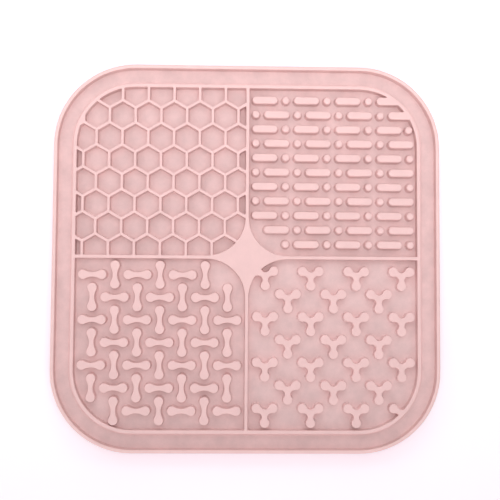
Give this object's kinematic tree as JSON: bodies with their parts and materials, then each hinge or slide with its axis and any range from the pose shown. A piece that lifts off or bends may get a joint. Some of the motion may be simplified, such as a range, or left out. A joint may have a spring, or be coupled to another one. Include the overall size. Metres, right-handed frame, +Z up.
{
  "type": "lick mat",
  "caption": "Square silicone lick mat with rounded corners: a raised lip, a spill channel, four fields of raised relief round a star, and small suction cups underneath.",
  "frame": {"origin": "under the middle of the mat, on the surface that the suction cups stand on", "axes": "+X to the right, +Y away from the user, towards the top of the picture, +Z up out of the relief"},
  "size_m": [0.2, 0.2, 0.01],
  "materials": {
    "silicone": "satin"
  },
  "bodies": {
    "root": {"floor_sheet": "silicone", "outer_lip": "silicone", "field_frame": "silicone", "dividers": "silicone", "centre_star": "silicone", "honeycomb_ribs": "silicone", "dash_pegs": "silicone", "dot_pegs": "silicone", "bone_pegs_across": "silicone", "bone_pegs_upright": "silicone", "trefoil_pegs": "silicone", "suction_cups": "silicone"}
  },
  "joints": []
}
